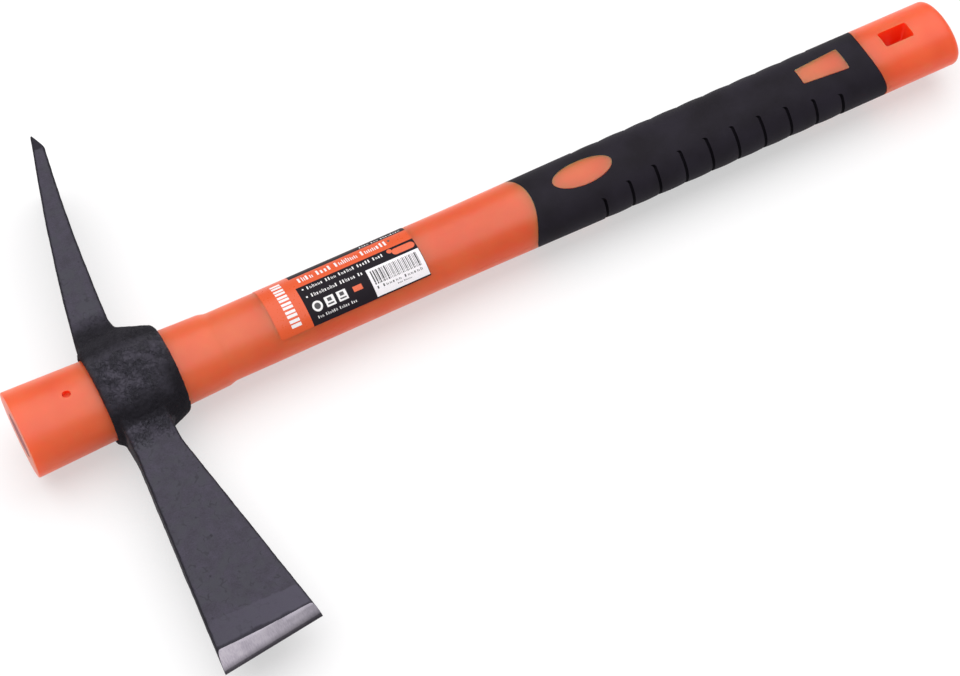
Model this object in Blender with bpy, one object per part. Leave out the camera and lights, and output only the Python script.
# Mini cutter mattock: a forged head with an axe blade and an adze, held on the taper of a
# fibreglass handle in a moulded jacket, with an overmoulded rubber grip and two printed labels.
# The frame's origin is the middle of the handle's head end. +X runs along the handle to the
# butt, +Y to the adze and +Z up, square to the broad side of the handle. Metres.

import math

import bmesh
import bpy

# Clearances
FIT_GAP = 0.0003          # between two rigid pieces that touch on the real tool
LABEL_GAP = 0.00025       # glue line below a label
CUT_THROUGH = 0.002       # how far a cutter runs past the face that it opens
CUTTER_HALF_HEIGHT = 0.030  # of a cutter that goes right through the handle's broad sides

# Handle jacket, stations along X
HANDLE_LENGTH = 0.378
HEAD_END_WIDTH = 0.0351
COLLAR_END = 0.0745       # end of the taper that the head jams on
COLLAR_WIDTH = 0.0296
COLLAR_STEP = 0.0045      # length of the slope behind the collar
SHANK_WIDTH = 0.0282
SWELL_BEFORE_GRIP = 0.0403  # the handle starts to swell this far ahead of the grip
SWELL_IN_GRIP = 0.0397    # and is fully swollen this far behind the grip's front
GRIP_WIDTH = 0.0295
BUTT_WIDTH = 0.0292
SECTION_RATIO = 0.71      # depth over width of the handle's oval
SECTION_POWER = 2.0       # 2 is an ellipse, more is squarer
HEAD_END_CHAMFER = 0.0004
BUTT_RADIUS = 0.0026

# Fibreglass core
CORE_WIDTH = 0.0180
CORE_DEPTH = 0.0105
CORE_FROM_BUTT = 0.0430   # the core stops this far short of the butt, clear of the hang slot

# Rubber grip in its recess
GRIP_LENGTH = 0.1421      # at the middle of the broad side
GRIP_FROM_BUTT = 0.0356
GRIP_FRONT_BOW = 0.0044   # how much further the grip reaches at the narrow sides
GRIP_REAR_BOW = 0.0026
GRIP_THICKNESS = 0.0022

# Grip grooves
GROOVE_COUNT = 10
GROOVE_FROM_FRONT = 0.0246
GROOVE_PITCH = 0.0112
GROOVE_WIDTH = 0.0011
GROOVE_DEPTH = 0.0008
GROOVE_INNER_Y = 0.0077   # where the middle groove starts on the broad side
GROOVE_OUTER_Y = 0.0124   # where the first and last grooves start

# Pads of the jacket that show in the grip's windows
OVAL_PAD_FROM_FRONT = 0.0218  # to the pad's middle
OVAL_PAD_LENGTH = 0.0240
OVAL_PAD_WIDTH = 0.0108
TAPER_PAD_FROM_REAR = 0.0091  # to the pad's rear edge
TAPER_PAD_LENGTH = 0.0190
TAPER_PAD_FRONT_WIDTH = 0.0071
TAPER_PAD_REAR_WIDTH = 0.0101

# Hang slot and mould pin hole
SLOT_FROM_BUTT = 0.0213
SLOT_LENGTH = 0.0124
SLOT_WIDTH = 0.0071
PIN_HOLE_X = 0.0196
PIN_HOLE_DIAMETER = 0.0032
PIN_HOLE_DEPTH = 0.0040

# Eye of the head
EYE_FRONT = 0.0295
EYE_LENGTH = 0.0285
BOSS_WIDTH = 0.0442
BOSS_DEPTH = 0.0326
BOSS_FRONT_WIDTH = 0.0412
BOSS_FRONT_DEPTH = 0.0304
BOSS_REAR_WIDTH = 0.0351
BOSS_REAR_DEPTH = 0.0290
BOSS_FRONT_FAIRING = 0.0050
BOSS_REAR_FAIRING = 0.0115
BOSS_RIM_RADIUS = 0.0009
EYE_POWER = 2.1

# Axe blade, reach measured down from the handle's middle line
BLADE_REACH = 0.1147
BLADE_EDGE_SLANT = 0.0044  # the cutting edge is this much lower on its head side
BLADE_BEVEL_SLANT = 0.0011  # and so is the line where its bevel starts
BLADE_NECK_REACH = 0.0310
BLADE_NECK_WIDTH = 0.0168
BLADE_EDGE_WIDTH = 0.0375
BLADE_NECK_OFFSET = 0.0036  # the neck sits this far to the head side of the eye's middle
BLADE_ROOT_THICKNESS = 0.0150
BLADE_NECK_THICKNESS = 0.0110
BLADE_TIP_THICKNESS = 0.0054
BLADE_BEVEL = 0.0070

# Adze, reach measured up from the handle's middle line
ADZE_REACH = 0.1052
ADZE_NECK_REACH = 0.0260
ADZE_NECK_WIDTH = 0.0136
ADZE_EDGE_WIDTH = 0.0360
ADZE_NECK_THICKNESS = 0.0139
ADZE_TIP_THICKNESS = 0.0047
ADZE_BEVEL = 0.0072
ADZE_NECK_OFFSET = 0.0053   # the neck's middle, to the head side of the eye's middle
ADZE_LEAN = 0.0125          # how far the tip leans to the handle side of the neck
ADZE_BOW = 0.0009           # how far its middle bows to the head side

ROOT_FILLET = 0.0035
FORGED_RADIUS = 0.0011
CORNER_SHARE = 0.9          # most that a corner takes of half a thin bar's thickness
EDGE_FLAT = 0.0004          # width of a cutting edge

# Printed film label and price label
LABEL_START = 0.0927
LABEL_LENGTH = 0.0617
LABEL_TOP_Y = 0.0132
LABEL_BOTTOM_Y = 0.0117
LABEL_THICKNESS = 0.00025
STICKER_START = 0.1333
STICKER_LENGTH = 0.0209
STICKER_TOP_Y = 0.0018      # both edges lie below the middle line
STICKER_BOTTOM_Y = 0.0113
STICKER_THICKNESS = 0.0002

# Facets
OVAL_POINTS = 48
CORE_POINTS = 28
CORNER_STEPS = 2
PAD_POINTS = 28
GROOVE_STEPS = 8
LABEL_STEPS = 12
HOLE_POINTS = 16
BUTT_STEPS = 4
ADZE_STEPS = 5

EYE_MIDDLE = EYE_FRONT + EYE_LENGTH / 2
GRIP_REAR = HANDLE_LENGTH - GRIP_FROM_BUTT
GRIP_FRONT = GRIP_REAR - GRIP_LENGTH
SWELL_END = GRIP_FRONT + SWELL_IN_GRIP
SLOT_MIDDLE = HANDLE_LENGTH - SLOT_FROM_BUTT


def clear_scene():
    for obj in list(bpy.data.objects):
        bpy.data.objects.remove(obj, do_unlink=True)


def add_material(name, colour, roughness, metallic=0.0):
    material = bpy.data.materials.new(name)
    material.use_nodes = True
    shader = material.node_tree.nodes["Principled BSDF"]
    shader.inputs["Base Color"].default_value = (*colour, 1.0)
    shader.inputs["Roughness"].default_value = roughness
    shader.inputs["Metallic"].default_value = metallic
    return material


def make_object(name, build, material=None, smooth_angle=35.0):
    """Runs build on an empty bmesh, and makes an object of the result."""
    bm = bmesh.new()
    build(bm)
    bmesh.ops.recalc_face_normals(bm, faces=bm.faces)
    mesh = bpy.data.meshes.new(name)
    bm.to_mesh(mesh)
    bm.free()
    obj = bpy.data.objects.new(name, mesh)
    bpy.context.scene.collection.objects.link(obj)
    mesh.shade_smooth()
    mesh.set_sharp_from_angle(angle=math.radians(smooth_angle))
    if material:
        mesh.materials.append(material)
    return obj


def make_cutter(name, build):
    obj = make_object(name, build)
    obj.hide_render = True
    obj.display_type = "WIRE"
    return obj


def combine(obj, operation, *others):
    for other in others:
        modifier = obj.modifiers.new(f"{operation.lower()} {other.name}", "BOOLEAN")
        modifier.operation = operation
        modifier.solver = "EXACT"
        modifier.object = other


def interpolate(x, stations):
    """The value at x of straight runs through (x, value) stations."""
    if x <= stations[0][0]:
        return stations[0][1]
    for (x0, v0), (x1, v1) in zip(stations, stations[1:]):
        if x <= x1:
            return v0 + (v1 - v0) * (x - x0) / (x1 - x0)
    return stations[-1][1]


def envelope_stations():
    """The handle's flush outer width, with the grip's skin counted in."""
    return [
        (0.0, HEAD_END_WIDTH),
        (COLLAR_END, COLLAR_WIDTH),
        (COLLAR_END + COLLAR_STEP, SHANK_WIDTH),
        (GRIP_FRONT - SWELL_BEFORE_GRIP, SHANK_WIDTH),
        (SWELL_END, GRIP_WIDTH),
        (HANDLE_LENGTH, BUTT_WIDTH),
    ]


def envelope_width(x):
    return interpolate(x, envelope_stations())


def oval_point(angle, width, depth, power):
    c, s = math.cos(angle), math.sin(angle)
    y = width / 2 * math.copysign(abs(c) ** (2 / power), c)
    z = depth / 2 * math.copysign(abs(s) ** (2 / power), s)
    return y, z


def oval_ring(bm, x_of_y, width, depth, power, points):
    """A ring of vertices around the X axis. x_of_y gives each vertex's station."""
    ring = []
    for k in range(points):
        y, z = oval_point(2 * math.pi * k / points, width, depth, power)
        ring.append(bm.verts.new((x_of_y(y), y, z)))
    return ring


def handle_ring(bm, x, inset=0.0, points=OVAL_POINTS):
    width = envelope_width(x)
    return oval_ring(bm, lambda y: x, width - 2 * inset, width * SECTION_RATIO - 2 * inset,
                     SECTION_POWER, points)


def join_rings(bm, ring_a, ring_b):
    count = len(ring_a)
    for k in range(count):
        n = (k + 1) % count
        bm.faces.new((ring_a[k], ring_a[n], ring_b[n], ring_b[k]))


def loft(bm, rings):
    for ring_a, ring_b in zip(rings, rings[1:]):
        join_rings(bm, ring_a, ring_b)
    bm.faces.new(rings[0])
    bm.faces.new(rings[-1])


def build_envelope(bm):
    """The whole handle as one solid oval bar, with a chamfered head end and a round butt."""
    rings = [handle_ring(bm, 0.0, HEAD_END_CHAMFER), handle_ring(bm, HEAD_END_CHAMFER)]
    inner = [x for x, _ in envelope_stations()[1:-1]]
    rings += [handle_ring(bm, x) for x in inner]
    for k in range(BUTT_STEPS + 1):
        turn = math.pi / 2 * k / BUTT_STEPS
        x = HANDLE_LENGTH - BUTT_RADIUS * (1 - math.sin(turn))
        rings.append(handle_ring(bm, x, BUTT_RADIUS * (1 - math.cos(turn))))
    loft(bm, rings)


def grip_end_x(middle, bow, y):
    """An end of the grip, bowed along X between the middle and the narrow sides."""
    return middle + bow * (2 * y / GRIP_WIDTH) ** 2


def grip_sleeve_rings(bm, inset, end_gap):
    """Rings from the front to the rear of the grip, set in from the flush surface."""
    rings = []
    for middle, bow in ((GRIP_FRONT + end_gap, -GRIP_FRONT_BOW), (SWELL_END, 0.0),
                        (GRIP_REAR - end_gap, GRIP_REAR_BOW)):
        width = envelope_width(middle)
        rings.append(oval_ring(bm, lambda y: grip_end_x(middle, bow, y), width - 2 * inset,
                               width * SECTION_RATIO - 2 * inset, SECTION_POWER, OVAL_POINTS))
    return rings


def build_sleeve(bm, outer_inset, inner_inset, end_gap):
    """A tube between two insets from the flush surface."""
    outer = grip_sleeve_rings(bm, outer_inset, end_gap)
    inner = grip_sleeve_rings(bm, inner_inset, end_gap)
    for ring_a, ring_b in zip(outer, outer[1:]):
        join_rings(bm, ring_a, ring_b)
    for ring_a, ring_b in zip(inner, inner[1:]):
        join_rings(bm, ring_b, ring_a)
    join_rings(bm, inner[0], outer[0])
    join_rings(bm, outer[-1], inner[-1])


def build_prism(bm, outline, bottom, top):
    """An outline in the XY plane, extruded along Z."""
    low = [bm.verts.new((x, y, bottom)) for x, y in outline]
    high = [bm.verts.new((x, y, top)) for x, y in outline]
    loft(bm, [low, high])


def oval_pad_outline(gap):
    outline = []
    for k in range(PAD_POINTS):
        turn = 2 * math.pi * k / PAD_POINTS
        outline.append((GRIP_FRONT + OVAL_PAD_FROM_FRONT + (OVAL_PAD_LENGTH / 2 + gap) * math.cos(turn),
                        (OVAL_PAD_WIDTH / 2 + gap) * math.sin(turn)))
    return outline


def taper_pad_outline(gap):
    rear = GRIP_REAR - TAPER_PAD_FROM_REAR + gap
    front = rear - TAPER_PAD_LENGTH - 2 * gap
    front_y, rear_y = TAPER_PAD_FRONT_WIDTH / 2 + gap, TAPER_PAD_REAR_WIDTH / 2 + gap
    return [(front, -front_y), (rear, -rear_y), (rear, rear_y), (front, front_y)]


def build_core(bm, gap, start, end):
    width, depth = CORE_WIDTH + 2 * gap, CORE_DEPTH + 2 * gap
    rings = [oval_ring(bm, lambda y: x, width, depth, 2.0, CORE_POINTS) for x in (start, end)]
    loft(bm, rings)


def build_slot(bm):
    front, rear = SLOT_MIDDLE - SLOT_LENGTH / 2, SLOT_MIDDLE + SLOT_LENGTH / 2
    half_y = SLOT_WIDTH / 2
    outline = [(front, -half_y), (rear, -half_y), (rear, half_y), (front, half_y)]
    build_prism(bm, outline, -CUTTER_HALF_HEIGHT, CUTTER_HALF_HEIGHT)


def build_pin_hole(bm):
    surface = envelope_width(PIN_HOLE_X) * SECTION_RATIO / 2
    outline = []
    for k in range(HOLE_POINTS):
        turn = 2 * math.pi * k / HOLE_POINTS
        outline.append((PIN_HOLE_X + PIN_HOLE_DIAMETER / 2 * math.cos(turn),
                        PIN_HOLE_DIAMETER / 2 * math.sin(turn)))
    build_prism(bm, outline, surface - PIN_HOLE_DEPTH, surface + CUT_THROUGH)


def make_core(material):
    end = HANDLE_LENGTH - CORE_FROM_BUTT
    return make_object("fibreglass_core", lambda bm: build_core(bm, 0.0, 0.0, end), material)


def make_jacket(material):
    jacket = make_object("handle_jacket", build_envelope, material)
    recess = make_cutter("recess_cutter",
                         lambda bm: build_sleeve(bm, -CUT_THROUGH, GRIP_THICKNESS, 0.0))
    top = CUTTER_HALF_HEIGHT
    for name, outline in (("oval_pad", oval_pad_outline(0.0)), ("taper_pad", taper_pad_outline(0.0))):
        pad = make_cutter(name, lambda bm: build_prism(bm, outline, -top, top))
        combine(recess, "DIFFERENCE", pad)
    bore_end = HANDLE_LENGTH - CORE_FROM_BUTT + FIT_GAP
    bore = make_cutter("core_bore", lambda bm: build_core(bm, FIT_GAP, -CUT_THROUGH, bore_end))
    slot = make_cutter("slot_cutter", build_slot)
    pin_hole = make_cutter("pin_hole_cutter", build_pin_hole)
    combine(jacket, "DIFFERENCE", recess, bore, slot, pin_hole)
    return jacket


def groove_start_angle(index):
    """The turn, counted from the middle of the narrow side, at which a groove's end lies."""
    middle = (GROOVE_COUNT - 1) / 2
    share = ((index - middle) / middle) ** 2
    y = GROOVE_INNER_Y + (GROOVE_OUTER_Y - GROOVE_INNER_Y) * share
    return math.acos(min(1.0, (2 * y / GRIP_WIDTH) ** (SECTION_POWER / 2)))


def build_groove(bm, index, side):
    """A curved bar that cuts one groove round a narrow side of the grip."""
    x = GRIP_FRONT + GROOVE_FROM_FRONT + index * GROOVE_PITCH
    width = envelope_width(x)
    reach = groove_start_angle(index)
    profiles = []
    for inset in (-CUT_THROUGH, GROOVE_DEPTH):
        points = []
        for k in range(GROOVE_STEPS + 1):
            angle = reach * (2 * k / GROOVE_STEPS - 1)
            y, z = oval_point(angle, width - 2 * inset, width * SECTION_RATIO - 2 * inset, SECTION_POWER)
            points.append((side * y, z))
        profiles.append(points)
    outline = profiles[0] + profiles[1][::-1]
    rings = [[bm.verts.new((station, y, z)) for y, z in outline]
             for station in (x - GROOVE_WIDTH / 2, x + GROOVE_WIDTH / 2)]
    join_rings(bm, rings[0], rings[1])
    last = GROOVE_STEPS + 1
    for ring in rings:
        for k in range(GROOVE_STEPS):
            bm.faces.new((ring[k], ring[k + 1], ring[2 * last - 2 - k], ring[2 * last - 1 - k]))


def build_all_grooves(bm):
    for index in range(GROOVE_COUNT):
        for side in (-1, 1):
            build_groove(bm, index, side)


def make_grip(material):
    grip = make_object("grip_sleeve",
                       lambda bm: build_sleeve(bm, 0.0, GRIP_THICKNESS - FIT_GAP, FIT_GAP), material)
    top = CUTTER_HALF_HEIGHT
    for name, outline in (("oval_window", oval_pad_outline(FIT_GAP)),
                          ("taper_window", taper_pad_outline(FIT_GAP))):
        combine(grip, "DIFFERENCE", make_cutter(name, lambda bm: build_prism(bm, outline, -top, top)))
    combine(grip, "DIFFERENCE", make_cutter("groove_cutter", build_all_grooves))
    return grip


def boss_stations():
    """(x, width, depth) of the eye's outer wall, from its head side to its handle side."""
    front, rear = EYE_FRONT, EYE_FRONT + EYE_LENGTH
    return [
        (front, BOSS_FRONT_WIDTH - 2 * BOSS_RIM_RADIUS, BOSS_FRONT_DEPTH - 2 * BOSS_RIM_RADIUS),
        (front + BOSS_RIM_RADIUS, BOSS_FRONT_WIDTH, BOSS_FRONT_DEPTH),
        (front + BOSS_FRONT_FAIRING, BOSS_WIDTH, BOSS_DEPTH),
        (rear - BOSS_REAR_FAIRING, BOSS_WIDTH, BOSS_DEPTH),
        (rear - BOSS_RIM_RADIUS, BOSS_REAR_WIDTH, BOSS_REAR_DEPTH),
        (rear, BOSS_REAR_WIDTH - 2 * BOSS_RIM_RADIUS, BOSS_REAR_DEPTH - 2 * BOSS_RIM_RADIUS),
    ]


def build_boss(bm):
    loft(bm, [oval_ring(bm, lambda y: x, width, depth, EYE_POWER, OVAL_POINTS)
              for x, width, depth in boss_stations()])


def build_eye(bm):
    """The eye's bore: the handle's own taper, a fit gap larger all round."""
    rings = []
    for x in (EYE_FRONT - CUT_THROUGH, EYE_FRONT + EYE_LENGTH + CUT_THROUGH):
        rings.append(handle_ring(bm, x, -FIT_GAP))
    loft(bm, rings)


def bar_ring(bm, y_of_x, x_low, x_high, half_z):
    """A rounded rectangle in the XZ plane. y_of_x gives each vertex's height."""
    radius = min(FORGED_RADIUS, CORNER_SHARE * (x_high - x_low) / 2, CORNER_SHARE * half_z)
    corners = [(x_high - radius, half_z - radius, 0.0), (x_low + radius, half_z - radius, 0.5),
               (x_low + radius, radius - half_z, 1.0), (x_high - radius, radius - half_z, 1.5)]
    ring = []
    for x, z, quarter in corners:
        for k in range(CORNER_STEPS + 1):
            turn = math.pi * (quarter + 0.5 * k / CORNER_STEPS)
            px = x + radius * math.cos(turn)
            ring.append(bm.verts.new((px, y_of_x(px), z + radius * math.sin(turn))))
    return ring


def build_blade(bm):
    """The axe blade, from inside the eye's wall down to its cutting edge."""
    neck_x = EYE_MIDDLE - BLADE_NECK_OFFSET
    bevel_reach = BLADE_REACH - BLADE_BEVEL
    inside = BOSS_WIDTH / 2 - 2 * ROOT_FILLET
    root = BOSS_WIDTH / 2
    run = (bevel_reach - BLADE_NECK_REACH) / (BLADE_REACH - BLADE_NECK_REACH)
    bevel_width = BLADE_NECK_WIDTH + (BLADE_EDGE_WIDTH - BLADE_NECK_WIDTH) * run
    bevel_x = neck_x + (EYE_MIDDLE - neck_x) * run
    stations = [
        (inside, neck_x, BLADE_NECK_WIDTH, BLADE_ROOT_THICKNESS + ROOT_FILLET),
        (root, neck_x, BLADE_NECK_WIDTH, BLADE_ROOT_THICKNESS),
        (root + ROOT_FILLET, neck_x, BLADE_NECK_WIDTH, BLADE_NECK_THICKNESS + FORGED_RADIUS),
        (BLADE_NECK_REACH, neck_x, BLADE_NECK_WIDTH, BLADE_NECK_THICKNESS),
    ]
    rings = [bar_ring(bm, lambda px: -reach, x - width / 2, x + width / 2, thickness / 2)
             for reach, x, width, thickness in stations]
    low_x = EYE_MIDDLE - BLADE_EDGE_WIDTH / 2

    def slanted_y(px, reach, slant):
        return -reach - slant * (0.5 - (px - low_x) / BLADE_EDGE_WIDTH)

    rings.append(bar_ring(bm, lambda px: slanted_y(px, bevel_reach, BLADE_BEVEL_SLANT),
                          bevel_x - bevel_width / 2, bevel_x + bevel_width / 2, BLADE_TIP_THICKNESS / 2))
    rings.append(bar_ring(bm, lambda px: slanted_y(px, BLADE_REACH, BLADE_EDGE_SLANT),
                          low_x, low_x + BLADE_EDGE_WIDTH, EDGE_FLAT / 2))
    loft(bm, rings)


def build_adze(bm):
    """The adze, from inside the eye's wall up to its cutting edge, ground on the handle side."""
    neck_x = EYE_MIDDLE - ADZE_NECK_OFFSET
    inside = BOSS_WIDTH / 2 - 2 * ROOT_FILLET
    root = BOSS_WIDTH / 2
    heel_reach = ADZE_REACH - ADZE_BEVEL
    stations = [
        (inside, neck_x, ADZE_NECK_THICKNESS + FORGED_RADIUS, ADZE_NECK_WIDTH + 2 * ROOT_FILLET),
        (root, neck_x, ADZE_NECK_THICKNESS + FORGED_RADIUS, ADZE_NECK_WIDTH + FORGED_RADIUS),
    ]
    for k in range(ADZE_STEPS + 1):
        run = k / ADZE_STEPS
        reach = ADZE_NECK_REACH + (heel_reach - ADZE_NECK_REACH) * run
        x = neck_x + ADZE_LEAN * run - ADZE_BOW * 4 * run * (1 - run)
        thickness = ADZE_NECK_THICKNESS + (ADZE_TIP_THICKNESS - ADZE_NECK_THICKNESS) * run
        flare = (reach - ADZE_NECK_REACH) / (ADZE_REACH - ADZE_NECK_REACH)
        width = ADZE_NECK_WIDTH + (ADZE_EDGE_WIDTH - ADZE_NECK_WIDTH) * flare
        stations.append((reach, x, thickness, width))
    rings = [bar_ring(bm, lambda px: reach, x - thickness / 2, x + thickness / 2, width / 2)
             for reach, x, thickness, width in stations]
    # The outer face runs on straight to the cutting edge.
    (last_reach, last_x, last_thickness, _), heel = stations[-2], stations[-1]
    outer_heel = heel[1] - heel[2] / 2
    slope = (outer_heel - last_x + last_thickness / 2) / (heel[0] - last_reach)
    edge_x = outer_heel + slope * ADZE_BEVEL
    rings.append(bar_ring(bm, lambda px: ADZE_REACH, edge_x, edge_x + EDGE_FLAT, ADZE_EDGE_WIDTH / 2))
    loft(bm, rings)


def make_head(material):
    head = make_object("mattock_head", build_boss, material)
    combine(head, "UNION", make_cutter("blade_form", build_blade), make_cutter("adze_form", build_adze))
    combine(head, "DIFFERENCE", make_cutter("eye_cutter", build_eye))
    return head


def label_angle(y, width):
    """The section angle, from the middle of the broad side, at a height y on the surface."""
    share = min(1.0, 2 * abs(y) / width)
    return math.copysign(math.asin(share ** (SECTION_POWER / 2)), y)


def build_label(bm, start, length, top_y, bottom_y, below, thickness):
    """A thin sheet laid round the broad side, from bottom_y to top_y."""
    layers = []
    for lift in (below, below + thickness):
        columns = []
        for x in (start, start + length):
            width = envelope_width(x)
            low, high = label_angle(bottom_y, width), label_angle(top_y, width)
            column = []
            for k in range(LABEL_STEPS + 1):
                angle = math.pi / 2 - (low + (high - low) * k / LABEL_STEPS)
                y, z = oval_point(angle, width + 2 * lift, width * SECTION_RATIO + 2 * lift,
                                  SECTION_POWER)
                column.append(bm.verts.new((x, y, z)))
            columns.append(column)
        layers.append(columns)
    for columns in layers:
        for k in range(LABEL_STEPS):
            bm.faces.new((columns[0][k], columns[1][k], columns[1][k + 1], columns[0][k + 1]))
    for side in (0, 1):
        for k in range(LABEL_STEPS):
            bm.faces.new((layers[0][side][k], layers[0][side][k + 1],
                          layers[1][side][k + 1], layers[1][side][k]))
    for k in (0, LABEL_STEPS):
        bm.faces.new((layers[0][0][k], layers[0][1][k], layers[1][1][k], layers[1][0][k]))


def make_labels(film, paper):
    make_object("product_label", lambda bm: build_label(
        bm, LABEL_START, LABEL_LENGTH, LABEL_TOP_Y, -LABEL_BOTTOM_Y, LABEL_GAP, LABEL_THICKNESS), film)
    lift = 2 * LABEL_GAP + LABEL_THICKNESS
    make_object("price_label", lambda bm: build_label(
        bm, STICKER_START, STICKER_LENGTH, -STICKER_TOP_Y, -STICKER_BOTTOM_Y, lift,
        STICKER_THICKNESS), paper)


def main():
    clear_scene()
    make_head(add_material("black_forged_steel", (0.060, 0.058, 0.070), 0.48, 0.6))
    make_core(add_material("fibreglass_rod", (0.70, 0.66, 0.50), 0.45))
    make_jacket(add_material("orange_moulded_plastic", (0.86, 0.17, 0.06), 0.38))
    make_grip(add_material("black_moulded_rubber", (0.030, 0.029, 0.034), 0.62))
    make_labels(add_material("printed_film", (0.030, 0.030, 0.034), 0.30),
                add_material("white_paper", (0.82, 0.82, 0.80), 0.60))
    bpy.context.view_layer.update()


main()
